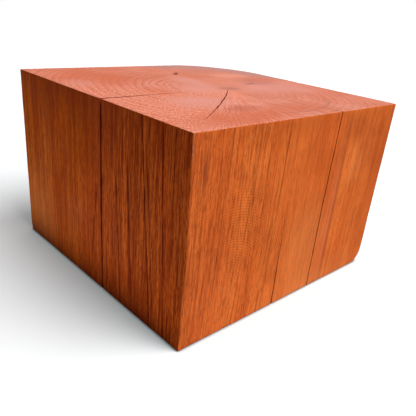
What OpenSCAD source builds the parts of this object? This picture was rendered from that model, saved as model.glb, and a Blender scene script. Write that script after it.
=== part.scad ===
// Squared hardwood block with a boxed heart, standing on its end grain.
// Millimetres, +Z up along the grain, origin at the middle of the underside.
// The front corner is at -X -Y and the waned back corner at +X +Y.

/* [Block] */
// Width across the right-hand face
block_w = 151; // [120:1:260]
// Depth across the left-hand face
block_d = 150; // [130:1:260]
// Height along the grain
block_h = 100; // [60:1:240]
// Width of the eased edges
arris = 1; // [0.4:0.1:3]

/* [Wane] */
// Length of the back edge lost along the width
wane_w = 36; // [20:1:50]
// Length of the back edge lost along the depth
wane_d = 45; // [20:1:55]
// Round of the log at the waned corner
log_round = 50; // [30:1:120]

/* [Heart] */
// Pith across the width, from the middle of the block
pith_x = 6.3; // [-15:0.1:20]
// Pith across the depth, from the middle of the block
pith_y = -10; // [-20:0.1:15]
// Bearing of the heart check, from the width axis
heart_bearing = 218.4; // [205:0.1:235]
// Length of the heart check across the end grain
heart_long = 82; // [20:1:84]
// Opening of the heart check at its middle
heart_gap = 0.9; // [0.3:0.1:2]
// Bow of the heart check to one side
heart_bow = 1.8; // [1:0.1:8]
// Depth of the heart check at its middle
heart_deep = 14; // [3:1:40]

/* [Left check] */
// Mouth on the left face, from the middle of the depth
left_y = -10.2; // [-30:0.1:30]
// Opening at the face
left_gap = 0.8; // [0.3:0.1:2]
// Reach in towards the pith at the top
left_top = 52; // [5:1:54]
// Reach in towards the pith at the bottom
left_base = 40; // [5:1:54]

/* [Right checks] */
// Mouth of the tall check, from the middle of the width
tall_x = 21.4; // [12:0.1:50]
// Opening of the tall check at the face
tall_gap = 0.8; // [0.3:0.1:2]
// Reach of the tall check at the top
tall_top = 12; // [2:1:34]
// Reach of the tall check at the bottom
tall_base = 20; // [2:1:34]
// Mouth of the short check, from the middle of the width
short_x = -11.3; // [-50:0.1:-2]
// Opening of the short check at the bottom edge
short_gap = 1; // [0.3:0.1:2]
// Reach of the short check at the bottom
short_base = 18; // [4:1:34]
// Height at which the short check closes
short_h = 56; // [20:1:58]

/* [Back check] */
// Start of the fine check, out from the pith
fine_start = 26; // [8:1:34]
// Bearing of the fine check, from the width axis
fine_bearing = 19; // [0:1:40]
// Length of the fine check across the end grain
fine_long = 11; // [4:1:18]
// Opening of the fine check
fine_gap = 0.4; // [0.2:0.1:1]
// Depth of the fine check
fine_deep = 3; // [1:0.5:8]

/* [Pit] */
// Pit across the width, from the middle of the block
pit_x = 10.9; // [-20:0.1:20]
// Pit across the depth, from the middle of the block
pit_y = 42.1; // [25:0.1:48]
// Width of the pit at the top
pit_w = 3.4; // [2.8:0.1:8]
// Depth of the pit
pit_deep = 1.4; // [0.5:0.1:1.7]

/* [Hidden] */
$fn = 1440;
half_w = block_w / 2;
half_d = block_d / 2;
// How far a cutting shape stands clear of the face that it cuts
clear = 4;
wane_chord = norm([wane_w, wane_d]);
// Tightest round that meets both faces without turning back
least_round = wane_chord * wane_chord / 2 / min(wane_w, wane_d);
log_r = max(log_round, 1.05 * least_round);
// From the chord of the wane back to the centre of the log's round
wane_back = sqrt(log_r * log_r - wane_chord * wane_chord / 4);
log_x = half_w - wane_w / 2 - wane_back * wane_d / wane_chord;
log_y = half_d - wane_d / 2 - wane_back * wane_w / wane_chord;

// Radius of the arc on a chord of a given length and rise.
function arc_r(chord, rise) = (chord * chord / 4 + rise * rise) / (2 * rise);

// Square on its point, whose sides bevel the corners of a rectangle.
module bevels(wide, tall) {
  point = (wide + tall) / 2 - arris;
  polygon([[point, 0], [0, point], [-point, 0], [0, -point]]);
}

module sawn_block() {
  longest = block_w + block_d + block_h;
  translate([0, 0, block_h / 2])
    intersection() {
      cube([block_w, block_d, block_h], center = true);
      linear_extrude(longest, center = true) bevels(block_w, block_d);
      rotate([90, 0, 0]) linear_extrude(longest, center = true) bevels(block_w, block_h);
      rotate([90, 0, 90]) linear_extrude(longest, center = true) bevels(block_d, block_h);
    }
}

// Outside of the log, with its rims eased like the sawn edges.
module log_round_form() {
  rim = log_r - arris - clear;
  translate([log_x, log_y, 0])
    rotate_extrude()
      polygon([
        [0, -clear],
        [rim, -clear],
        [log_r, arris],
        [log_r, block_h - arris],
        [rim, block_h + clear],
        [0, block_h + clear],
      ]);
}

// Corner of the squared block that the log was too small to fill.
module wane() {
  difference() {
    translate([half_w - wane_w - clear, half_d - wane_d - clear, -2 * clear])
      cube([wane_w + 2 * clear, wane_d + 2 * clear, block_h + 4 * clear]);
    log_round_form();
  }
}

// Wedge from a mouth on a side face in towards the pith.
// Its inner edge leans from one reach at the bottom to another at a given rise.
module side_check(mouth, gap, reach_base, reach_rise, rise) {
  bearing = atan2(pith_y - mouth[1], pith_x - mouth[0]);
  lean = atan((reach_rise - reach_base) / rise);
  deepest = max(reach_base, reach_rise);
  outer = deepest + clear;
  outer_half = gap / 2 * outer / deepest / cos(lean);
  translate([mouth[0], mouth[1], 0])
    rotate([0, 0, bearing])
      translate([reach_base, 0, 0])
        rotate([0, lean, 0])
          linear_extrude(4 * block_h, center = true)
            polygon([[0, 0], [-outer, outer_half], [-outer, -outer_half]]);
}

// Sliver between two arcs on the end grain, deepest at its middle.
module end_check(bearing, start, long, gap, bow, deep) {
  near_rise = bow - gap / 2;
  far_rise = bow + gap / 2;
  near_r = arc_r(long, near_rise);
  far_r = arc_r(long, far_rise);
  floor_r = arc_r(long + clear, deep);
  translate([pith_x, pith_y, block_h])
    rotate([0, 0, bearing])
      translate([start + long / 2, 0, 0])
        intersection() {
          translate([0, 0, -2 * deep])
            linear_extrude(4 * deep)
              difference() {
                translate([0, far_rise - far_r]) circle(r = far_r);
                translate([0, near_rise - near_r]) circle(r = near_r);
              }
          translate([0, 0, floor_r - deep])
            rotate([90, 0, 0])
              cylinder(r = floor_r, h = long, center = true);
        }
}

module pit() {
  pit_r = arc_r(pit_w, pit_deep);
  translate([pit_x, pit_y, block_h - pit_deep + pit_r]) sphere(r = pit_r, $fn = 48);
}

module wood_block() {
  color([0.6, 0.25, 0.1])
    difference() {
      sawn_block();
      wane();
      side_check([-half_w, left_y], left_gap, left_base, left_top, block_h);
      side_check([tall_x, -half_d], tall_gap, tall_base, tall_top, block_h);
      side_check([short_x, -half_d], short_gap, short_base, 0, short_h);
      end_check(heart_bearing, 0, heart_long, heart_gap, heart_bow, heart_deep);
      end_check(fine_bearing, fine_start, fine_long, fine_gap, fine_gap, fine_deep);
      pit();
    }
}

wood_block();
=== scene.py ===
"""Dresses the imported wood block: a worn block mesh, solid wood grain, studio light and a camera."""

import math

import bmesh
import bpy
import numpy as np
from mathutils import Matrix, Vector, geometry, noise


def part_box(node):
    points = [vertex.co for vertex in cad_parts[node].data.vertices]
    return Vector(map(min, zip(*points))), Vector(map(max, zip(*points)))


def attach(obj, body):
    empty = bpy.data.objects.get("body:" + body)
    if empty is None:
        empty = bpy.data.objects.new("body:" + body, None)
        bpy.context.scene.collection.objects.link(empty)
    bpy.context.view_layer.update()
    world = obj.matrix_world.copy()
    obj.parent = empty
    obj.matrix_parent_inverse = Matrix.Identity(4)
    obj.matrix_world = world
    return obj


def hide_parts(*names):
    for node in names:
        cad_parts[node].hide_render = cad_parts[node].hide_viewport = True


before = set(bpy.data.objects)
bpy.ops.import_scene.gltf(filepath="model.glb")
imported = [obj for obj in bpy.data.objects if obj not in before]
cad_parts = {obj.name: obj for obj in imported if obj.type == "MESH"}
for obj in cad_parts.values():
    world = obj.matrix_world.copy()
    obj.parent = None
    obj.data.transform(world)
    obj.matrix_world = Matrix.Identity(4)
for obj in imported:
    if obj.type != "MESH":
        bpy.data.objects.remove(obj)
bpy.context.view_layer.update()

# Lengths are in millimetres until the mesh is made
MM = 0.001
low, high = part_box("wood_block")
half_w = (high.x - low.x) / 2 / MM
half_d = (high.y - low.y) / 2 / MM
tall = (high.z - low.z) / MM

# Edges: crisp at the top, blunter at the foot, and knocked at its right-hand corner
crown_ease = 0.28
base_ease = 0.9
least_ease = 0.06
front_round = 0.6
side_round = 0.8
right_foot = 5.0
left_foot = 1.4
foot_height = 4
foot_knock = 2.0
knock_reach = 5
# Edge shade of the rounded corners, which paints wear and a highlight on them
edge_wear_and_highlight = 0.62

# Unevenness of the sawn faces, with its length across and up them
face_swell = 0.12
swell_across = 31
swell_up = 47

# Hollow worn along the front edge of the left-hand face
dish_deep = 1.1
dish_middle = 45
dish_spread = 24
dish_reach = 22

# Waned corner
wane_w = 36
wane_d = 45
log_r = 50
log_room = 2

# Heart of the tree, which leans across the width on its way up
pith_x = 6.3
pith_y = -10
pith_lean = 0.043

# Checks on the side faces: mouths, openings and reach in towards the pith
short_x = -11.3
short_h = 57
short_open = 0.7
short_shut = 0.05
short_reach = 17
short_least = 0.8
tall_x = 21.4
tall_lean = 1.4
tall_open = 0.7
tall_base = 20
tall_top = 12
left_y = -10.9
left_lean = 0.6
left_open_base = 1.05
left_open_top = 1.55
left_base = 40
left_top = 52
lip_reach = 6

# Spacing of the mesh
face_step = 1.0
row_step = 1.8
cap_step = 2.4
corner_steps = 6
wall_steps = 12

# Room for an eased rim: over the whole edge, at a corner, and its gain with the distance from there
rim_room = 2.2
rim_spare = 0.2
corner_room = 0.6
room_gain = 0.7


def wander(seed, *place):
    """Smooth noise between about -1 and 1, the same in every run."""
    spot = (*place, 0, 0)[:3]
    return noise.noise(Vector(spot) + seed * Vector((11.3, 5.7, 3.9)))


def pith_at(z):
    """Middle of the growth rings at a height."""
    return Vector((pith_x - pith_lean * (tall - z), pith_y))


class Plan:
    """Outline of the block at one height, as a closed loop of points."""

    def __init__(self, z):
        self.z = z
        self.share = z / tall
        self.points = []

    def add(self, place, inward, room=corner_room, fade=1.0, hollow=0.0, edge=0.0):
        """Adds a point: place, way in, room for its rim and share of it, how hollow it is for painted shade,
        and how worn its edge is for wear and a painted highlight.
        """
        self.points.append((*place, *inward, room, fade, hollow, edge))

    def face(self, start, end, long, inward, seed, dish=0.0):
        """Points of a sawn face, of a nominal length, between start and end, dished towards its end."""
        start, end, inward = Vector(start), Vector(end), Vector(inward)
        count = round(long / face_step)
        for i in range(1, count):
            spot = start.lerp(end, i / count)
            from_start = (spot - start).length
            from_end = (spot - end).length
            swell = face_swell * wander(seed, spot.x / swell_across, spot.y / swell_across, self.z / swell_up)
            swell -= dish * max(0, 1 - from_end / dish_reach) ** 2
            room = corner_room + room_gain * min(from_start, from_end)
            self.add(spot - inward * swell, inward, room)

    def corner(self, centre, radius, first, wear_and_highlight=edge_wear_and_highlight):
        """Quarter round from a first angle in degrees."""
        for i in range(corner_steps + 1):
            turn = math.radians(first + 90 * i / corner_steps)
            out = Vector((math.cos(turn), math.sin(turn)))
            shown = math.sin(math.pi * i / corner_steps) ** 0.5
            self.add(Vector(centre) + out * radius, -out, room_gain * radius, edge=wear_and_highlight * shown)

    def check(self, mouth, along, gap, reach, seed):
        """Walls of a check from its first lip in to its tip and out again."""
        heading = (pith_at(self.z) - mouth).normalized()
        walls = []
        for i in range(wall_steps):
            share = i / wall_steps
            depth = reach * share**1.5
            ragged = 0.22 * wander(seed, depth / 4, self.z / 7) * min(1, depth / 3)
            half = gap / 2 * (1 - share) ** 0.8
            middle = mouth + heading * depth + along * ragged
            fade = max(0, 1 - depth / lip_reach)
            # How much painted shade the wall gets, more the deeper it goes
            hollow = min(1, 0.7 + depth / 4)
            walls.append((middle, half, fade, hollow))
        for middle, half, fade, hollow in walls:
            self.add(middle - along * half, heading, fade=fade, hollow=hollow)
        self.add(mouth + heading * reach, heading, fade=max(0, 1 - reach / lip_reach), hollow=1)
        for middle, half, fade, hollow in reversed(walls):
            self.add(middle + along * half, heading, fade=fade, hollow=hollow)


def wane_arc():
    """Centre and end angles of the log's round at the back corner."""
    chord = math.hypot(wane_w, wane_d)
    back = math.sqrt(log_r**2 - chord**2 / 4)
    x = half_w - wane_w / 2 - back * wane_d / chord
    y = half_d - wane_d / 2 - back * wane_w / chord
    first = math.atan2(half_d - wane_d - y, half_w - x)
    last = math.atan2(half_d - y, half_w - wane_w - x)
    return Vector((x, y)), first, last


log_centre, wane_first, wane_last = wane_arc()


def add_right_face(plan, start, end):
    """Right-hand face with its short and tall checks, from the front edge on."""
    z, share = plan.z, plan.share
    along, inward = Vector((1, 0)), Vector((0, 1))
    opening = max(0, 1 - z / short_h)
    short = Vector((short_x + 0.35 * wander(6, z / 12), -half_d))
    short_gap = short_shut + short_open * opening**0.9 * (1 + 0.3 * wander(7, z / 4))
    lean = tall_lean * min(1, 2 - 2 * share)
    long = Vector((tall_x - lean + 0.2 * wander(8, z / 22) + 0.14 * wander(9, z / 3), -half_d))
    long_gap = tall_open * (1 + 0.35 * wander(10, z / 5))
    long_reach = tall_base + (tall_top - tall_base) * share
    plan.face(start, short - along * short_gap / 2, half_w + short_x, inward, seed=11)
    plan.check(short, along, short_gap, short_least + short_reach * opening, seed=12)
    between = tall_x - short_x
    plan.face(short + along * short_gap / 2, long - along * long_gap / 2, between, inward, seed=11)
    plan.check(long, along, long_gap, long_reach, seed=13)
    plan.face(long + along * long_gap / 2, end, half_w - tall_x, inward, seed=11)


def add_log_round(plan):
    """Ridged outside of the log at the waned corner."""
    steps = round(log_r * (wane_last - wane_first) / face_step)
    for i in range(steps + 1):
        turn = wane_first + (wane_last - wane_first) * i / steps
        out = Vector((math.cos(turn), math.sin(turn)))
        ends = math.sin(math.pi * i / steps)
        ridge = 0.7 * wander(15, turn * 7, plan.z / 60) + 0.4 * wander(16, turn * 26, plan.z / 35)
        plan.add(log_centre + out * (log_r + ends * ridge), -out, log_room)


def add_left_face(plan, start, end, dish):
    """Left-hand face with its full-height check, back to the front edge."""
    z, share = plan.z, plan.share
    along, inward = Vector((0, -1)), Vector((1, 0))
    ragged = 0.5 * wander(1, z / 26) + 0.16 * wander(2, z / 3.1)
    split = Vector((-half_w, left_y - left_lean * (1 - share) + ragged))
    gap = left_open_base + (left_open_top - left_open_base) * share
    gap *= 1 + 0.4 * wander(18, z / 6)
    reach = left_base + (left_top - left_base) * share
    plan.face(start, split - along * gap / 2, half_d - left_y, inward, seed=19)
    plan.check(split, along, gap, reach, seed=20)
    plan.face(split + along * gap / 2, end, half_d + left_y, inward, seed=19, dish=dish)


def plan_at(z):
    """Plan of the whole block at a height, anticlockwise from the front corner."""
    plan = Plan(z)
    front = front_round + 0.15 * wander(3, z / 5)
    dish = dish_deep * math.exp(-(((z - dish_middle) / dish_spread) ** 2)) + 0.2 * wander(23, z / 5)
    foot = math.exp(-((z / foot_height) ** 2))
    right = side_round + right_foot * foot + 0.3 * wander(4, z / 9)
    left = side_round + left_foot * foot + 0.3 * wander(5, z / 9)
    # Near the top of the front edge the edge shade rises to 1, which paints a highlight there
    highlight_share = min(1, max(0, (plan.share - 0.86) / 0.06))
    front_wear_and_highlight = edge_wear_and_highlight + (1 - edge_wear_and_highlight) * highlight_share
    plan.corner((-half_w + dish + front, -half_d + front), front, 180, front_wear_and_highlight)
    add_right_face(plan, (-half_w + dish + front, -half_d), (half_w - right, -half_d))
    plan.corner((half_w - right, -half_d + right), right, 270)
    hidden_d = 2 * half_d - wane_d
    plan.face((half_w, -half_d + right), (half_w, half_d - wane_d), hidden_d, (-1, 0), seed=14)
    add_log_round(plan)
    hidden_w = 2 * half_w - wane_w
    plan.face((half_w - wane_w, half_d), (-half_w + left, half_d), hidden_w, (0, -1), seed=17)
    plan.corner((-half_w + left, half_d - left), left, 90)
    add_left_face(plan, (-half_w, half_d - left), (-half_w, -half_d + front), dish)
    return np.array(plan.points)


class Shell:
    """Mesh under construction: places, hollow and edge shades (painted shade in the hollows, wear and painted
    highlights on the edges), faces, and which faces line a hollow.
    """

    def __init__(self):
        self.places = []
        self.hollow = []
        self.edge = []
        self.faces = []
        self.lining = []

    def add(self, places, hollow, edge):
        """Adds points and returns their numbers."""
        first = len(self.places)
        self.places.extend(tuple(float(v) for v in p) for p in places)
        count = len(self.places) - first
        self.hollow.extend(np.broadcast_to(hollow, count).tolist())
        self.edge.extend(np.broadcast_to(edge, count).tolist())
        return list(range(first, first + count))

    def face(self, *corners):
        """Adds a face, which lines a hollow where all its corners are hollow."""
        self.faces.append(corners)
        self.lining.append(all(self.hollow[c] > 0 for c in corners))

    def band(self, lower, upper):
        """Joins two closed loops of equal length."""
        for i in range(len(lower)):
            j = (i + 1) % len(lower)
            self.face(lower[i], lower[j], upper[j], upper[i])

    def flat(self, loops, z, facing):
        """Fills the first loop, less the other loops, with even triangles."""
        numbers = [n for loop in loops for n in loop]
        rims = [np.array([self.places[n][:2] for n in loop]) for loop in loops]
        spots = np.concatenate(rims)
        inner = grid_points(rims, spots)
        numbers += self.add([(x, y, z) for x, y in inner], 0, 0)
        edges = []
        start = 0
        for rim in rims:
            count = len(rim)
            edges += [(start + i, start + (i + 1) % count) for i in range(count)]
            start += count
        every = [Vector(p) for p in np.concatenate([spots, inner])]
        whole_hull, nearest = 0, 1e-7
        filled = geometry.delaunay_2d_cdt(every, edges, [], whole_hull, nearest)
        found, _, triangles, sources, _, _ = filled
        found = np.array(found)
        middles = np.array([found[list(t)].mean(0) for t in triangles])
        kept = inside(middles, rims)
        for triangle, keep in zip(triangles, kept):
            if keep:
                corners = [numbers[sources[v][0]] for v in triangle]
                self.faces.append(corners[::facing])
                self.lining.append(False)


def inside(spots, rims):
    """Whether each spot is within the first rim and outside the others."""
    never_zero = 1e-30
    crossings = np.zeros(len(spots), int)
    for rim in rims:
        after = np.roll(rim, -1, 0)
        for (ax, ay), (bx, by) in zip(rim, after):
            spans = (ay > spots[:, 1]) != (by > spots[:, 1])
            if spans.any():
                reach = ax + (spots[:, 1] - ay) * (bx - ax) / (by - ay + never_zero)
                crossings += spans & (spots[:, 0] < reach)
    return crossings % 2 == 1


def grid_points(rims, spots):
    """Even, slightly shaken points inside the rims and clear of them."""
    row_gap = 0.87 * cap_step
    shake = 0.2 * cap_step
    clear = 0.62 * cap_step
    wide = np.arange(-half_w, half_w, cap_step)
    rows = np.arange(-half_d, half_d, row_gap)
    grid = []
    for row, y in enumerate(rows):
        for x in wide + cap_step / 2 * (row % 2):
            grid.append((x + shake * wander(21, x, y), y + shake * wander(22, x, y)))
    grid = np.array(grid)
    grid = grid[inside(grid, rims)]
    near = np.array([np.hypot(*(spots - g).T).min() for g in grid])
    return grid[near > clear]


def check_line(bearing, start, long, gap, bow, depth, seed):
    """Ragged line of a check in the end grain: the left lip, right lip, middle and depth at each step."""
    steps = max(8, round(long / 2))
    turn = math.radians(bearing)
    way = Vector((math.cos(turn), math.sin(turn)))
    side = Vector((-way.y, way.x))
    first = Vector((pith_x, pith_y)) + way * start
    line = []
    for i in range(steps + 1):
        share = i / steps
        swell = math.sin(math.pi * share)
        curve = bow * (1 - (2 * share - 1) ** 2)
        ragged = 0.5 * swell * wander(seed, share * long / 6)
        middle = first + way * long * share + side * (curve + ragged)
        closing = 1 - 0.3 * min(1, max(0, (share - 0.6) / 0.15))
        uneven = 0.7 + 0.4 * share + 0.45 * wander(seed + 1, share * long / 5)
        half = gap / 2 * swell**0.5 * closing * uneven
        line.append((middle + side * half, middle - side * half, middle, depth * swell**0.5))
    return line


def bore_check(shell, line):
    """Check in the end grain along a line. Returns its rim and adds its walls."""
    first_tip, last_tip = line[0][2], line[-1][2]
    tips = shell.add([(*first_tip, tall), (*last_tip, tall)], 0.5, 0)
    open_line = line[1:-1]
    walls = []
    for lip in (0, 1):
        levels = []
        # Painted shade on the walls, stronger the deeper they go
        for share in (0, 0.15, 0.4, 0.7):
            spots = [(*step[lip].lerp(step[2], share), tall - step[3] * share) for step in open_line]
            levels.append(shell.add(spots, min(1, 0.6 + 2.5 * share), 0))
        walls.append(levels)
    floor = shell.add([(*middle, tall - depth) for _, _, middle, depth in open_line], 1, 0)
    for wall in walls:
        levels = [*wall, floor]
        for upper, lower in zip(levels, levels[1:]):
            for i in range(len(upper) - 1):
                shell.face(upper[i], upper[i + 1], lower[i + 1], lower[i])
            shell.face(tips[0], upper[0], lower[0])
            shell.face(tips[1], lower[-1], upper[-1])
    left_wall, right_wall = walls
    return [tips[0], *right_wall[0], tips[1], *reversed(left_wall[0])]


def bore_pit(shell, x, y, wide, depth):
    """Small ragged pit in the end grain. Returns its rim and adds its bowl."""
    count = 18
    rings = []
    # Painted shade in the bowl, stronger the deeper it goes
    for share, drop, hollow in ((1, 0, 0.5), (0.85, 0.45, 0.9), (0.5, 0.85, 1)):
        spots = []
        for i in range(count):
            turn = 2 * math.pi * i / count
            radius = share * wide / 2 * (1 + 0.25 * wander(31, math.cos(turn), math.sin(turn)))
            spots.append((x + radius * math.cos(turn), y + radius * math.sin(turn), tall - depth * drop))
        rings.append(shell.add(spots, hollow, 0))
    for upper, lower in zip(rings, rings[1:]):
        shell.band(lower, upper)
    middle = shell.add([(x, y, tall - depth)], 1, 0)[0]
    last = rings[-1]
    for i in range(count):
        shell.face(last[i], last[(i + 1) % count], middle)
    return rings[0]


def nicks(seed, x, y, size, deep, least):
    """Depth of the nicks of one size, where the noise passes its least value."""
    return deep * max(0, wander(seed, x / size, y / size) - least)


def eased(plan, ease, seed, knock=0.0):
    """Width of the eased rim at each point of a plan, with small nicks and a knocked corner."""
    most = rim_room - rim_spare
    widths = []
    for x, y, _, _, room, fade, _, _ in plan:
        nicked = nicks(seed, x, y, size=1.6, deep=2.4, least=0.30)
        nicked += nicks(seed + 2, x, y, size=0.7, deep=1.5, least=0.15)
        width = ease * (0.8 + 0.35 * wander(seed + 1, x / 7, y / 7)) + nicked
        off = math.hypot(x - half_w, y + half_d)
        width += knock * math.exp(-((off / knock_reach) ** 2))
        widths.append(max(least_ease, min(width, room, most) * fade))
    return np.array(widths)


def build_block():
    """Whole block as one closed mesh."""
    shell = Shell()
    rim_turns = np.radians((0, 25, 50, 72, 90))
    rows = []

    def add_rim(plan, widths, turn, top):
        inset = widths * (1 - math.cos(turn))
        drop = widths * (1 - math.sin(turn))
        z = tall - drop if top else drop
        spots = np.c_[plan[:, :2] + plan[:, 2:4] * inset[:, None], z]
        wear_and_painted_light = plan[:, 5] * 0.66 * max(0.2, math.sin(2 * turn))
        rows.append(shell.add(spots, plan[:, 6], np.maximum(wear_and_painted_light, plan[:, 7])))

    base = plan_at(base_ease)
    widths = eased(base, base_ease, seed=41, knock=foot_knock)
    for turn in rim_turns[::-1]:
        add_rim(base, widths, turn, False)
    count = round((tall - 2 * rim_room) / row_step)
    for z in np.linspace(rim_room, tall - rim_room, count):
        plan = plan_at(z)
        rows.append(shell.add(np.c_[plan[:, :2], np.full(len(plan), z)], plan[:, 6], plan[:, 7]))
    crown = plan_at(tall - crown_ease)
    widths = eased(crown, crown_ease, seed=51)
    for turn in rim_turns:
        add_rim(crown, widths, turn, True)
    for lower, upper in zip(rows, rows[1:]):
        shell.band(lower, upper)

    heart_line = check_line(bearing=218.4, start=0, long=82, gap=0.8, bow=1.8, depth=14, seed=61)
    heart = bore_check(shell, heart_line)
    fine_line = check_line(bearing=19, start=26, long=11, gap=0.5, bow=0.4, depth=3, seed=65)
    fine = bore_check(shell, fine_line)
    pit = bore_pit(shell, x=10.9, y=42.1, wide=3.4, depth=1.4)
    shell.flat([rows[-1], heart, fine, pit], z=tall, facing=1)
    shell.flat([rows[0]], z=0, facing=-1)
    return shell


def block_object(shell):
    """Block in metres, with its hollow and edge shades for painted shade, wear and highlights stored on the
    mesh and its sharp edges kept.
    """
    mesh = bpy.data.meshes.new("wood_block")
    mesh.from_pydata((np.array(shell.places) * MM).tolist(), [], shell.faces)
    mesh.attributes.new("edge", "FLOAT", "POINT").data.foreach_set("value", shell.edge)
    shades = [shell.hollow[c] * lined for face, lined in zip(shell.faces, shell.lining) for c in face]
    mesh.attributes.new("hollow", "FLOAT", "CORNER").data.foreach_set("value", shades)
    work = bmesh.new()
    work.from_mesh(mesh)
    bmesh.ops.recalc_face_normals(work, faces=work.faces)
    work.to_mesh(mesh)
    work.free()
    mesh.polygons.foreach_set("use_smooth", [True] * len(mesh.polygons))
    mesh.set_sharp_from_angle(angle=math.radians(40))
    block = bpy.data.objects.new("block", mesh)
    bpy.context.collection.objects.link(block)
    return block


block = block_object(build_block())
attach(block, "root")
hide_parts("wood_block")


class Nodes:
    """Shader nodes by short calls."""

    def __init__(self, tree):
        self.tree = tree

    def add(self, kind, inputs, output=0, **settings):
        """Adds a node with its inputs, as values or links, and returns one of its outputs."""
        node = self.tree.nodes.new("ShaderNode" + kind)
        for name, value in settings.items():
            setattr(node, name, value)
        for name, value in inputs.items():
            if isinstance(value, bpy.types.NodeSocket):
                self.tree.links.new(value, node.inputs[name])
            else:
                node.inputs[name].default_value = value
        return node.outputs[output]

    def math(self, operation, first, second=0.0):
        return self.add("Math", {0: first, 1: second}, operation=operation)

    def times(self, first, *others):
        for other in others:
            first = self.math("MULTIPLY", first, other)
        return first

    def vector(self, operation, first, second):
        return self.add("VectorMath", {0: first, 1: second}, operation=operation)

    def length(self, vector):
        return self.add("VectorMath", {0: vector}, output="Value", operation="LENGTH")

    def split(self, vector):
        return tuple(self.add("SeparateXYZ", {0: vector}).node.outputs)

    def join(self, x, y, z):
        return self.add("CombineXYZ", {0: x, 1: y, 2: z})

    def noise(self, place, detail=2.0, roughness=0.5, output="Fac"):
        inputs = {"Vector": place, "Scale": 1.0, "Detail": detail, "Roughness": roughness}
        return self.add("TexNoise", inputs, output)

    def ease(self, value, start, end, low=0.0, high=1.0):
        """Smooth step from low at start to high at end."""
        inputs = {0: value, 1: start, 2: end, 3: low, 4: high}
        return self.add("MapRange", inputs, interpolation_type="SMOOTHSTEP")

    def mix(self, share, first, second, blend="MIX"):
        """Mix of two colours, whose sockets go by number because their names repeat."""
        inputs = {0: share, 6: first, 7: second}
        return self.add("Mix", inputs, output=2, data_type="RGBA", blend_type=blend)


# Colours of the side grain
pale = (0.86, 0.208, 0.041, 1)
warm = (0.74, 0.153, 0.029, 1)
deep_red = (0.28, 0.033, 0.006, 1)
vessel_dark = (0.13, 0.009, 0.003, 1)
# Painted shade of the left-hand face: tints multiplied into its colour
painted_shade_ruddy = (0.89, 0.72, 0.45, 1)
painted_shade_tawny = (0.86, 0.82, 0.46, 1)
painted_shade_russet = (1.0, 0.83, 0.52, 1)
painted_shade_amber = (0.84, 0.68, 0.12, 1)
# More colours of the side grain
plum = (0.20, 0.035, 0.018, 1)
rose = (0.70, 0.165, 0.065, 1)
honey = (0.82, 0.270, 0.080, 1)

# Colours of the end grain
end_pink = (0.79, 0.262, 0.168, 1)
end_red = (0.69, 0.180, 0.090, 1)
end_ruddy = (0.66, 0.150, 0.065, 1)
end_dark = (0.44, 0.085, 0.040, 1)
end_speck = (0.60, 0.120, 0.052, 1)
end_salmon = (0.95, 0.297, 0.176, 1)
end_pale = (0.86, 0.350, 0.230, 1)
# Pale rays, and painted glints on the end grain
pale_ray_and_painted_glint = (0.92, 0.470, 0.360, 1)
# Painted sheen: the sky's reflection on the end grain
painted_sheen_lilac = (0.80, 0.330, 0.270, 1)
mauve = (0.48, 0.170, 0.125, 1)

# Colours of the sapwood, the log's outside, worn edges with painted highlights on them, and dirt that also
# paints shade in the hollows
sap_grey = (0.52, 0.265, 0.235, 1)
sap_cream = (0.70, 0.340, 0.180, 1)
sap_tan = (0.50, 0.185, 0.080, 1)
log_brown = (0.34, 0.165, 0.090, 1)
log_dark = (0.17, 0.070, 0.036, 1)
worn_and_highlight_pale = (0.74, 0.270, 0.110, 1)
painted_highlight_pale = (0.86, 0.450, 0.320, 1)
dirt_and_painted_shade = (0.150, 0.010, 0.013, 1)

# Darkest growth rings: radius, half width and strength
dark_rings = (
    (69.8, 0.45, 1.0),
    (73.9, 0.45, 0.9),
    (78.0, 0.50, 0.8),
    (80.6, 0.50, 0.7),
    (83.4, 0.60, 0.8),
    (88.4, 0.70, 1.0),
    (93.0, 0.70, 0.9),
    (97.2, 0.70, 0.8),
    (100.4, 0.60, 0.7),
)

# Vessel lines on the two front faces: place at the top, lean, lowest, highest, half width and strength
left_lines = (
    (7.5, 0.0, 58, 104, 0.8, 0.40),
    (-12.3, 0.131, -4, 62, 1.0, 0.65),
    (-20.6, 0.0, 72, 94, 1.4, 0.80),
    (-21.3, -0.074, -4, 70, 1.1, 0.85),
    (-31.1, -0.074, -4, 82, 1.0, 0.90),
    (-42.6, -0.105, -8, 112, 0.9, 0.90),
    (-45.4, -0.105, 6, 86, 0.9, 0.80),
    (-57.0, -0.062, -4, 104, 0.8, 0.90),
    (-65.0, -0.020, 40, 104, 0.7, 0.80),
    (-69.5, -0.010, 8, 84, 0.7, 0.70),
)
right_lines = (
    (-17.4, -0.037, 50, 104, 0.7, 0.55),
    (-17.4, -0.037, -8, 60, 1.0, 0.25),
    (-30.0, 0.0, 42, 94, 0.6, 0.40),
    (-34.0, 0.0, -8, 30, 0.6, 0.28),
    (-37.7, 0.0, 40, 94, 0.6, 0.45),
    (-44.5, 0.0, 25, 64, 0.6, 0.38),
    (-56.3, 0.0, 30, 92, 0.6, 0.38),
    (-60.4, 0.0, 28, 66, 0.6, 0.40),
    (-67.0, 0.0, 36, 66, 0.7, 0.35),
    (15.6, -0.030, -8, 42, 0.8, 0.25),
)

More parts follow.
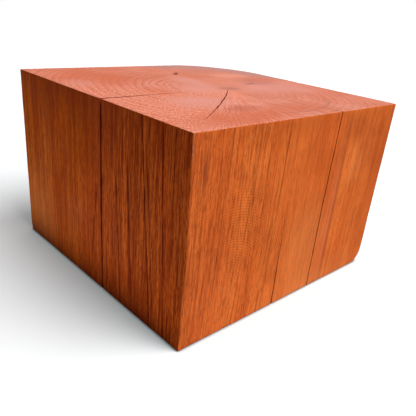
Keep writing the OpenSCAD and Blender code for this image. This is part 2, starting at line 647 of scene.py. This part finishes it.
# Stains in the solid wood, some of them painted light, shade or sheen: centre, half widths, colour and
# strength
side_stains = (
    ((-68, -75, 82), (1.6, 5, 12), plum, 0.60),
    ((28, -75, 40), (5, 5, 70), rose, 0.40),
    ((31.5, -75, 45), (2.2, 5, 80), plum, 0.45),
    ((-58, -75, 22), (22, 5, 45), rose, 0.10),
    ((42, -75, 70), (3.4, 5, 19), honey, 0.42),
    ((48, -75, 68), (3.4, 5, 14), honey, 0.36),
    ((40, -75, 91), (13, 5, 15), deep_red, 0.42),
    ((66, -75, 70), (34, 5, 90), deep_red, 0.16),
    # Painted light thrown up by the floor: the foot of the right-hand face paler
    ((25, -75, -6), (75, 5, 26), honey, 0.30),
    # Painted shade: the top of the left-hand face darker
    ((-75, 10, 110), (5, 100, 34), deep_red, 0.60),
    ((-75, 64, 14), (5, 34, 40), honey, 0.30),
    ((-75, -32, 6), (5, 38, 30), deep_red, 0.38),
    ((-75, -16, 82), (5, 16, 28), deep_red, 0.36),
    ((9, -75, 28), (28, 5, 42), honey, 0.30),
    ((29, -75, 90), (8, 5, 34), deep_red, 0.34),
    ((77, -75, 55), (9, 5, 130), deep_red, 0.40),
    ((-25, -75, 104), (40, 5, 22), deep_red, 0.25),
)
end_stains = (
    ((-47, 43, tall), (34, 36, 3), end_ruddy, 0.80),
    ((-38, -64, tall), (44, 18, 3), end_ruddy, 0.70),
    ((4, -58, tall), (36, 17, 3), end_ruddy, 0.55),
    ((-24, -50, tall), (17, 9, 3), end_dark, 0.45),
    # Painted sheen: lilac patches that stand for the sky's reflection
    ((-34, -32, tall), (26, 19, 3), painted_sheen_lilac, 0.65),
    ((-8, -4, tall), (24, 22, 3), painted_sheen_lilac, 0.60),
    ((38, -14, tall), (46, 28, 3), painted_sheen_lilac, 0.60),
    ((2, 20, tall), (14, 24, 3), painted_sheen_lilac, 0.60),
    ((-64, 27, tall), (10, 16, 3), painted_sheen_lilac, 0.35),
    ((46, 27, tall), (22, 11, 3), end_pale, 0.60),
    ((34, 48, tall), (22, 15, 3), mauve, 0.30),
    ((-38, -2, tall), (10, 18, 3), end_ruddy, 0.40),
    ((44, 3, tall), (20, 17, 3), mauve, 0.40),
    ((8, -9, tall), (11, 8, 3), mauve, 0.65),
    ((34, -1, tall), (8, 2.6, 3), dirt_and_painted_shade, 0.32),
    ((7.6, 38.8, tall), (1.9, 1.9, 3), dirt_and_painted_shade, 0.45),
    ((9.2, 40.4, tall), (2.0, 2.0, 3), dirt_and_painted_shade, 0.75),
    ((12.6, 43.8, tall), (2.0, 2.0, 3), dirt_and_painted_shade, 0.75),
    ((14.4, 45.6, tall), (1.9, 1.9, 3), dirt_and_painted_shade, 0.45),
)


class Wood(Nodes):
    """Solid wood, whose colours follow the place in the block in millimetres."""

    def __init__(self, tree):
        super().__init__(tree)
        spot = self.add("TexCoord", {}, output="Object")
        self.place = self.add("VectorMath", {0: spot, "Scale": 1 / MM}, operation="SCALE")
        self.x, self.y, self.z = self.split(self.place)
        normal_x, normal_y, normal_z = self.split(self.add("TexCoord", {}, output="Normal"))
        self.end = self.ease(self.math("ABSOLUTE", normal_z), 0.72, 0.94)
        self.side = self.math("SUBTRACT", 1.0, self.end)
        self.right = self.ease(normal_y, -0.6, -0.9)
        self.left = self.ease(normal_x, -0.6, -0.9)
        self.log = self.ease(self.math("MINIMUM", normal_x, normal_y), 0.10, 0.25)
        self.bend_grain()
        self.grow_rings()
        self.cloud = self.grain_noise(0.04, 0.010)

    def stretched(self, place, across, along):
        return self.vector("MULTIPLY", place, (across, across, along))

    def grain_noise(self, across, along, detail=2.0, roughness=0.5):
        """Noise that bends with the grain, with features per millimetre across and along it."""
        return self.noise(self.stretched(self.bent, across, along), detail, roughness)

    def spread_noise(self, rate, detail=1.0):
        """Noise that ignores the grain."""
        return self.noise(self.stretched(self.place, rate, rate), detail)

    def sway(self, across, along, reach):
        """Sideways shift of the grain."""
        shift = self.noise(self.stretched(self.place, across, along), 1.0, output="Color")
        return self.vector("MULTIPLY", self.vector("SUBTRACT", shift, (0.5, 0.5, 0.5)), (reach, reach, 0))

    def bend_grain(self):
        """Grain that sways around a leaning pith."""
        slow = self.sway(0.013, 0.004, 7)
        quick = self.vector("ADD", self.sway(0.13, 0.012, 1.1), self.sway(0.25, 0.05, 0.25))
        self.nearby = self.vector("ADD", self.place, quick)
        self.bent = self.vector("ADD", self.nearby, slow)
        x, y, z = self.split(self.bent)
        lean = self.times(self.math("SUBTRACT", tall, z), pith_lean)
        across_x = self.math("ADD", self.math("SUBTRACT", x, pith_x), lean)
        radial = self.join(across_x, self.math("SUBTRACT", y, pith_y), 0.0)
        self.radius = self.length(radial)
        self.heading = self.add("VectorMath", {0: radial}, operation="NORMALIZE")

    def grow_rings(self):
        """Growth rings, uneven in width and strength."""
        around = self.vector("MULTIPLY", self.heading, (1.3, 1.3, 0))
        lie = self.vector("ADD", around, self.stretched(self.place, 0.0, 0.004))
        self.ring_at = self.math("ADD", self.radius, self.times(self.noise(lie, 1.0), 5.0))
        self.along_ring = self.vector("MULTIPLY", lie, (1.5, 1.5, 1))
        self.broad = self.bands(0.20, 1.0)
        self.narrow = self.bands(0.62, 2.0)

    def bands(self, rate, detail):
        step = self.join(0.0, 0.0, self.times(self.ring_at, rate))
        return self.noise(self.vector("ADD", self.along_ring, step), detail)

    def toward(self, x, y):
        """How nearly a place lies from the pith along a heading."""
        inputs = {0: self.heading, 1: (x, y, 0)}
        return self.add("VectorMath", inputs, output="Value", operation="DOT_PRODUCT")

    def dark_lines(self):
        """Soft lines on the darkest rings."""
        first, last = 60, 110
        span = self.add("MapRange", {0: self.radius, 1: first, 2: last})
        ramp = self.add("ValToRGB", {0: span}).node
        ramp.color_ramp.interpolation = "EASE"
        stops = ramp.color_ramp.elements
        for radius, half, strength in dark_rings:
            for shift, level in ((-half, 0), (0, strength), (half, 0)):
                stops.new((radius + shift - first) / (last - first)).color = (level, level, level, 1)
        stops[0].color = stops[-1].color = (0, 0, 0, 1)
        return ramp.outputs[0]

    def vessel_lines(self, across, spots, face):
        """Leaning lines of open vessels on one face, at their spots across it."""
        fade_out = 8
        down = self.math("SUBTRACT", tall, self.z)
        lines = 0.0
        for start, lean, lowest, highest, half, strength in spots:
            middle = self.math("ADD", self.times(down, lean), start)
            off = self.math("ABSOLUTE", self.math("SUBTRACT", across, middle))
            line = self.ease(off, half, 0.3 * half, 0.0, strength)
            line = self.times(line, self.ease(self.z, lowest, lowest + fade_out))
            line = self.times(line, self.ease(self.z, highest, highest - fade_out))
            lines = self.math("MAXIMUM", lines, line)
        dashes = self.ease(self.grain_noise(0.6, 0.07), 0.40, 0.52, 0.50, 1.0)
        return self.times(lines, dashes, face)

    def dark_vessels(self):
        """Dark vessels on the sides: crowded pores, the darkest rings, ticks on the left and single lines."""
        crowd = self.math("ADD", self.grain_noise(0.14, 0.006), self.times(self.narrow, 0.5))
        pores = self.ease(self.grain_noise(1.2, 0.045, 3.0, 0.65), 0.48, 0.57)
        crowded = self.times(pores, self.ease(crowd, 0.66, 0.96), 0.4)
        dashes = self.ease(self.grain_noise(0.60, 0.050), 0.42, 0.56, 0.12, 1.0)
        rings = self.times(self.dark_lines(), dashes, self.ease(self.left, 0, 1, 1.0, 0.25))
        bold = self.times(self.right, self.ease(self.x, 20, -40, 0.35, 0.50))
        bold = self.math("MAXIMUM", bold, 0.32)
        dark = self.times(self.math("MAXIMUM", crowded, rings), bold)

        ticks = self.ease(self.grain_noise(1.0, 0.045, 2.0, 0.6), 0.55, 0.62, 0.0, 0.55)
        ticks = self.times(ticks, self.left, self.ease(self.y, -6, -20))
        dark = self.math("MAXIMUM", dark, ticks)
        x, y, _ = self.split(self.nearby)
        for across, spots, face in ((x, right_lines, self.right), (y, left_lines, self.left)):
            dark = self.math("MAXIMUM", dark, self.vessel_lines(across, spots, face))
        return self.times(dark, self.side)

    def painted_left_shade(self):
        """Painted shade of the left-hand face, multiplied into its colour: ruddy, tawny at the back, amber
        high up there, russet in front.
        """
        shade = self.mix(self.ease(self.y, -20, 60), painted_shade_ruddy, painted_shade_tawny)
        high_back = self.times(self.ease(self.z, 48, 86), self.ease(self.y, -12, 8))
        shade = self.mix(high_back, shade, painted_shade_amber)
        return self.mix(self.ease(self.y, -46, -62), shade, painted_shade_russet)

    def fine_grain(self, colour):
        """Rings, streaks, fibres and flecks, finer in turn, and strongest at the front of both faces."""
        left = self.times(self.left, self.ease(self.y, 30, -15, 0.8, 1.0))
        right = self.times(self.right, self.ease(self.x, 0, -60, 0.42, 0.76))
        gain = self.math("MAXIMUM", self.math("MAXIMUM", left, 0.42), right)
        soft = self.grain_noise(0.20, 0.005)
        streak = self.grain_noise(0.95, 0.016, 2.0, 0.6)
        for grain, start, end, most in (
            (self.narrow, 0.42, 0.70, 0.20),
            (soft, 0.42, 0.62, 0.20),
            (streak, 0.52, 0.61, 0.48),
            (self.fibres, 0.53, 0.60, 0.72),
            (self.fleck, 0.54, 0.61, 0.34),
        ):
            colour = self.mix(self.times(self.ease(grain, start, end, 0.0, most), gain), colour, deep_red)
        return colour

    def side_colour(self):
        """Sides from pale to dark wood, with vessels and fibres long up the trunk, and painted shade on the
        left-hand face.
        """
        self.fibres = self.grain_noise(1.9, 0.13, 2.0, 0.65)
        self.fleck = self.grain_noise(1.1, 0.30, 1.0)
        self.vessels = self.dark_vessels()
        tone = self.times(self.math("ADD", self.broad, self.cloud), 0.5)
        colour = self.mix(self.ease(tone, 0.36, 0.62), pale, warm)
        stripe = self.ease(self.grain_noise(0.36, 0.003, 1.0), 0.44, 0.58, 0.0, 0.36)
        stripe = self.times(stripe, self.left, self.ease(self.y, -72, -54, 0.1, 1.0))
        colour = self.fine_grain(self.mix(stripe, colour, deep_red))
        blotch = self.ease(self.spread_noise(0.035, 2.0), 0.44, 0.62, 0.0, 0.18)
        colour = self.mix(blotch, colour, deep_red)
        colour = self.mix(self.vessels, colour, vessel_dark)
        # Painted shade: the left-hand face darker and redder than the others
        return self.mix(self.left, colour, self.painted_left_shade(), "MULTIPLY")

    def end_rings(self, colour):
        """Growth rings on the end grain, strongest on the left."""
        season = self.math("ADD", self.times(self.ring_at, 0.24), self.times(self.broad, 1.2))
        season = self.math("FRACT", season)
        late = self.times(self.ease(season, 0.30, 0.85), self.ease(season, 1.0, 0.88))
        rings = self.times(late, self.ease(self.toward(-0.85, 0.53), 0.2, 0.9, 0.25, 0.45))
        return self.mix(self.times(rings, self.ease(self.radius, 14, 36)), colour, end_dark)

    def end_pores(self, colour):
        """Open pores and painted glints between them, most at the front."""
        self.speck = self.grain_noise(1.1, 1.1, 3.0, 0.65)
        painted_glints = self.grain_noise(0.75, 0.75, 3.0, 0.65)
        open_grain = self.ease(self.toward(-0.95, -0.31), 0.60, 0.95, 0.30, 0.90)
        colour = self.mix(self.times(self.ease(self.speck, 0.48, 0.60), open_grain), colour, end_speck)
        # Painted glints: light specks for the shine of the end grain
        return self.mix(self.times(self.ease(painted_glints, 0.50, 0.66), open_grain), colour, pale_ray_and_painted_glint)

    def end_rays(self, colour):
        """Rays that fan out from the pith, clearest towards the right-hand face."""
        spoke = self.vector("MULTIPLY", self.heading, (105, 105, 0))
        spoke = self.noise(self.vector("ADD", spoke, self.stretched(self.place, 0.05, 0.3)), 2.0, 0.6)
        fan = self.ease(self.toward(-0.13, -0.99), 0.62, 0.95, 0.12, 0.85)
        fan = self.times(fan, self.ease(self.radius, 10, 32))
        colour = self.mix(self.times(self.ease(spoke, 0.50, 0.64), fan), colour, pale_ray_and_painted_glint)
        return self.mix(self.times(self.ease(spoke, 0.46, 0.34, 0.0, 0.7), fan), colour, end_dark)

    def dark_arc(self, colour):
        """Part of one dark ring, near the right-hand face."""
        arc_radius = 57.0
        off_arc = self.math("ABSOLUTE", self.math("SUBTRACT", self.radius, arc_radius))
        arc = self.ease(off_arc, 1.3, 0.1, 0.0, 0.6)
        arc = self.times(arc, self.ease(self.toward(0.2, -0.98), 0.84, 0.93))
        return self.mix(arc, colour, mauve)

    def end_colour(self):
        """End grain: rings on the left, open pores and painted glints at the front, rays in a fan."""
        colour = self.mix(self.ease(self.cloud, 0.36, 0.64, 0.0, 0.6), end_pink, end_red)
        front = self.ease(self.toward(-0.90, -0.43), 0.45, 0.95)
        colour = self.mix(self.times(front, 0.8), colour, end_salmon)
        return self.dark_arc(self.end_rays(self.end_pores(self.end_rings(colour))))

    def stained(self, colour, stains):
        """Soft stains, each an ellipsoid in the solid wood, some of them painted light, shade or sheen."""
        for centre, spread, stain, strength in stains:
            offset = self.vector("DIVIDE", self.vector("SUBTRACT", self.nearby, centre), spread)
            colour = self.mix(self.ease(self.length(offset), 1.0, 0.2, 0.0, strength), colour, stain)
        return colour

    def sawn(self, colour):
        """Arcs that a round saw left on the right-hand face."""
        saw_x, saw_z, pitch = -51.6, 20.0, 1.3
        across = self.math("SUBTRACT", self.x, saw_x)
        arc = self.length(self.join(across, 0.0, self.math("SUBTRACT", self.z, saw_z)))
        arc = self.math("ADD", arc, self.times(self.spread_noise(0.05), 1.5))
        marks = self.ease(self.math("SINE", self.times(arc, 2 * math.pi / pitch)), 0.1, 1.0)
        patch = self.ease(self.spread_noise(0.09), 0.30, 0.50)
        zone = self.times(self.ease(arc, 6, 14), self.ease(arc, 60, 46))
        zone = self.times(zone, self.ease(self.z, 20, 32), self.right)
        self.marks = self.times(marks, patch, zone)
        return self.mix(self.times(self.marks, 0.34), colour, deep_red)

    def sapwood(self, colour):
        """Grey sapwood by the waned corner, and the log's own weathered outside."""
        flat = self.vector("MULTIPLY", self.place, (1, 1, 0))
        rim = self.length(self.vector("SUBTRACT", flat, (log_centre.x, log_centre.y, 0)))
        uneven = self.math("SUBTRACT", self.grain_noise(0.2, 0.01), 0.5)
        rim = self.math("ADD", rim, self.times(uneven, 9.0))
        corner = self.ease(self.math("ADD", self.x, self.y), 70, 92)
        sap = self.times(self.ease(rim, log_r - 24, log_r - 12), corner)
        sap = self.times(sap, self.ease(self.end, 0, 1, 0.8, 0.75))
        grain = self.mix(self.ease(self.fibres, 0.36, 0.62), sap_cream, sap_tan)
        colour = self.mix(sap, colour, self.mix(self.end, grain, sap_grey))
        weather = self.grain_noise(0.5, 0.02, 3.0, 0.65)
        skin = self.mix(self.ease(weather, 0.35, 0.65), log_brown, log_dark)
        return self.mix(self.times(self.log, self.side), colour, skin)

    def wear_and_painted_light(self, colour):
        """Worn edges that also paint a highlight, then painted shade in the hollows in a dirt colour."""
        edge = self.add("Attribute", {}, output="Fac", attribute_name="edge")
        scuff = self.ease(self.spread_noise(0.7, 2.0), 0.40, 0.62)
        # Paler where the edges are worn, which also paints a highlight along them
        colour = self.mix(self.times(self.ease(edge, 0.50, 0.90), scuff, 0.5), colour, worn_and_highlight_pale)
        # Painted highlight at the top of the front edge
        colour = self.mix(self.ease(edge, 0.82, 1.0, 0.0, 0.35), colour, painted_highlight_pale)
        hollow = self.add("Attribute", {}, output="Fac", attribute_name="hollow")
        # Painted shade in the hollows, in a dirt colour
        return self.mix(self.times(hollow, 0.94), colour, dirt_and_painted_shade)


    def grain_bump(self):
        """Shallow relief of the fibres, vessels, saw marks and open pores."""
        grain_depth = 0.12
        height = self.times(self.math("ADD", self.fibres, self.fleck), -0.4)
        height = self.math("SUBTRACT", height, self.vessels)
        height = self.math("SUBTRACT", height, self.times(self.marks, 0.4))
        height = self.math("SUBTRACT", height, self.times(self.speck, self.end))
        return self.add("Bump", {"Strength": 0.4, "Distance": grain_depth * MM, "Height": height})


def wood_material():
    material = bpy.data.materials.new("red_hardwood")
    material.use_nodes = True
    tree = material.node_tree
    tree.nodes.clear()
    wood = Wood(tree)
    sides = wood.sawn(wood.stained(wood.side_colour(), side_stains))
    ends = wood.stained(wood.end_colour(), end_stains)
    colour = wood.wear_and_painted_light(wood.sapwood(wood.mix(wood.end, sides, ends)))
    bump = wood.grain_bump()
    rough = wood.ease(wood.spread_noise(0.05, 3.0), 0.3, 0.7, 0.42, 0.54)
    inputs = {"Base Color": colour, "Roughness": rough, "Normal": bump, "Specular IOR Level": 0.006}
    shader = wood.add("BsdfPrincipled", inputs)
    out = tree.nodes.new("ShaderNodeOutputMaterial")
    tree.links.new(shader, out.inputs["Surface"])
    return material


block.data.materials.append(wood_material())


def seen_rays(nodes):
    """1 for rays that show the background itself, 0 for those that only carry light."""
    path = nodes.add("LightPath", {}).node.outputs
    mirrored = nodes.math("MAXIMUM", path["Is Glossy Ray"], path["Is Transmission Ray"])
    return nodes.math("MAXIMUM", path["Is Camera Ray"], mirrored)


# White floor that keeps the shadow, with painted shade from ambient occlusion at the block's foot and near
# it, and is plain grey to the light that it throws back
def floor_material():
    material = bpy.data.materials.new("white_floor")
    material.use_nodes = True
    tree = material.node_tree
    tree.nodes.clear()
    nodes = Nodes(tree)
    black, white = (0, 0, 0, 1), (1, 1, 1, 1)
    grey = (0.46, 0.46, 0.46, 1)
    floor_white = (0.82, 0.850, 0.860, 1)
    shadow_cyan = (0.72, 1.0, 1.04, 1)
    contact_reach = 1.6 * MM
    sky_reach = 0.4
    plain = nodes.add("BsdfDiffuse", {"Color": grey})
    # Painted shade: ambient occlusion darkens the floor at the block's foot and near the block
    painted_contact_shade = nodes.add("AmbientOcclusion", {"Distance": contact_reach}, output="AO", samples=16)
    painted_open_sky_shade = nodes.add("AmbientOcclusion", {"Distance": sky_reach}, output="AO", samples=16)
    bright = nodes.add("BsdfDiffuse", {"Color": nodes.mix(painted_contact_shade, black, floor_white)})
    tint = nodes.mix(nodes.ease(painted_open_sky_shade, 0.5, 0.85), shadow_cyan, white)
    glow_with_painted_shade = nodes.add("Emission", {"Color": tint, "Strength": nodes.times(painted_contact_shade, painted_open_sky_shade, 0.30)})
    lit = nodes.add("AddShader", {0: bright, 1: glow_with_painted_shade})
    both = nodes.add("MixShader", {0: seen_rays(nodes), 1: plain, 2: lit})
    out = tree.nodes.new("ShaderNodeOutputMaterial")
    tree.links.new(both, out.inputs["Surface"])
    return material


def floor_object():
    half = 3.0
    mesh = bpy.data.meshes.new("floor")
    corners = [(-half, -half, 0), (half, -half, 0), (half, half, 0), (-half, half, 0)]
    mesh.from_pydata(corners, [], [(0, 1, 2, 3)])
    mesh.materials.append(floor_material())
    floor = bpy.data.objects.new("floor", mesh)
    bpy.context.collection.objects.link(floor)
    return floor


floor_object()


def add_light(kind, name, place, aim, **settings):
    """Lamp at a place, aimed at a point and unseen by the camera."""
    data = bpy.data.lights.new(name, kind)
    for setting, value in settings.items():
        setattr(data, setting, value)
    light = bpy.data.objects.new(name, data)
    bpy.context.collection.objects.link(light)
    light.location = place
    light.rotation_euler = (Vector(aim) - Vector(place)).to_track_quat("-Z", "Y").to_euler()
    light.visible_camera = False


# Soft key from the front right, and light thrown back up by the floor on the left
key_spot = Vector((0.325, -0.562, 0.760))
add_light("SUN", "key", key_spot, (0, 0, 0), energy=1.17 * math.pi, angle=math.radians(52))
bounce_spot = Vector((-0.124, 0.014, 0.001))
add_light(
    "AREA",
    "bounce",
    bounce_spot,
    bounce_spot + Vector((0, 0, 1)),
    energy=0.048,
    shape="RECTANGLE",
    size=0.05,
    size_y=0.17,
    color=(1, 1, 0.90),
)


# Even sky
def studio_world():
    world = bpy.data.worlds.new("studio")
    world.use_nodes = True
    tree = world.node_tree
    tree.nodes.clear()
    nodes = Nodes(tree)
    sky = nodes.add("Background", {"Color": (1, 1, 1, 1), "Strength": 0.10})
    white = nodes.add("Background", {"Color": (1, 1, 1, 1), "Strength": 1.0})
    both = nodes.add("MixShader", {0: seen_rays(nodes), 1: sky, 2: white})
    out = tree.nodes.new("ShaderNodeOutputWorld")
    tree.links.new(both, out.inputs["Surface"])
    return world


bpy.context.scene.world = studio_world()


# Camera where the photograph was taken, a little rolled
def add_camera():
    data = bpy.data.cameras.new("camera")
    data.sensor_width = 36
    data.lens = 41.33
    data.shift_x = 0.0107
    data.shift_y = 0.0360
    data.clip_start = 0.01
    camera = bpy.data.objects.new("camera", data)
    bpy.context.collection.objects.link(camera)
    eye = Vector((-0.1895, -0.2006, 0.1436))
    aim = Vector((-0.0487, -0.0566, 0.0500))
    roll = Matrix.Rotation(math.radians(5.24), 4, "Z")
    turn = (aim - eye).to_track_quat("-Z", "Y").to_matrix().to_4x4()
    camera.matrix_world = Matrix.Translation(eye) @ turn @ roll
    return camera


bpy.context.scene.camera = add_camera()
bpy.context.scene.view_settings.view_transform = "Standard"
